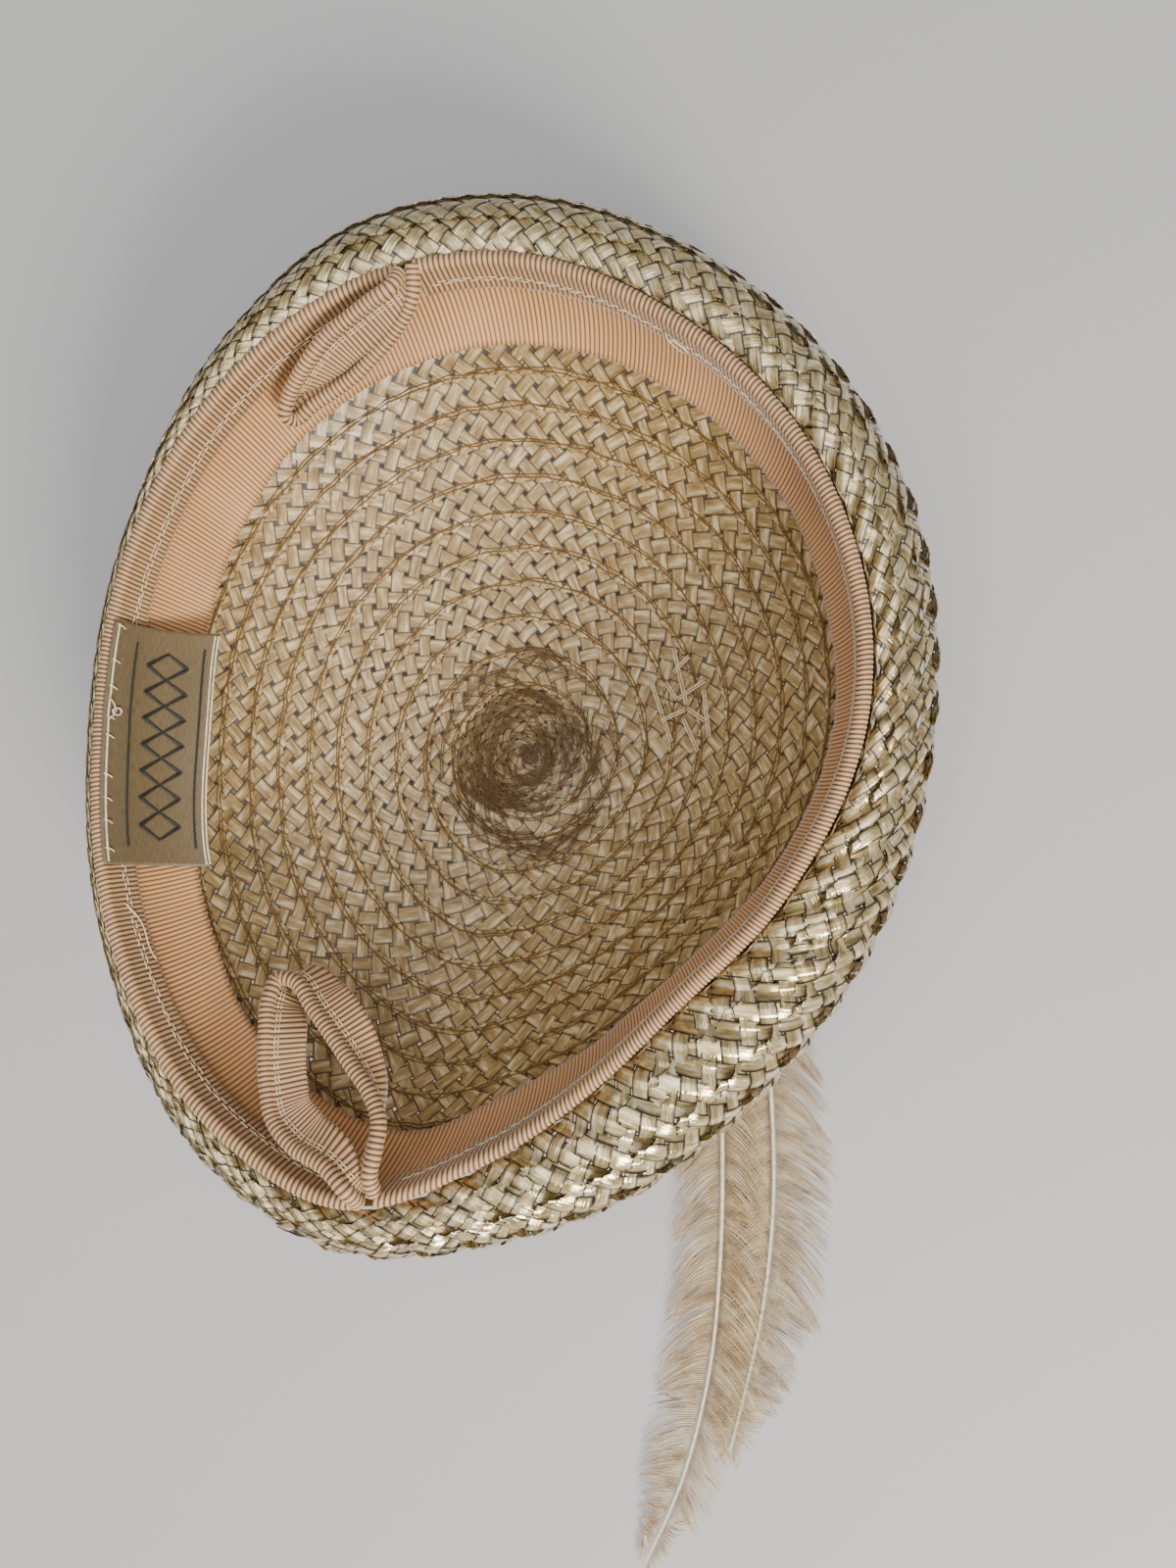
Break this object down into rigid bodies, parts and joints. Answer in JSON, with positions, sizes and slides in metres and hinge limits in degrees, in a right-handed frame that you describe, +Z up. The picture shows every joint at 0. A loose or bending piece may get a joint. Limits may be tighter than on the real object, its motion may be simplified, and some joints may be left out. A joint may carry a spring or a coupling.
{
  "type": "cocktail hat",
  "caption": "Small vintage-style plaited straw cocktail hat with a rolled brim, ribbon sweatband, wired pin loops and plumes, lying crown down with its opening up.",
  "frame": {"origin": "middle of the crown's flat button, on the face that the hat lies on", "axes": "+Z up out of the head opening, +X towards the hat's front, +Y towards its far side"},
  "size_m": [0.1802, 0.3059, 0.0621],
  "materials": {
    "straw": "glossy cellophane straw braid",
    "ribbon": "ribbed grosgrain",
    "woven_label": "satin weave",
    "feather": "soft barbs"
  },
  "bodies": {
    "root": {"crown": "straw", "rolled_brim": "straw", "sweatband": "ribbon", "piping_back": "ribbon", "piping_front": "ribbon", "pin_loop_near": "ribbon", "pin_loop_far": "ribbon", "label": "woven_label", "plume_long": "feather", "plume_short": "feather"}
  },
  "joints": []
}
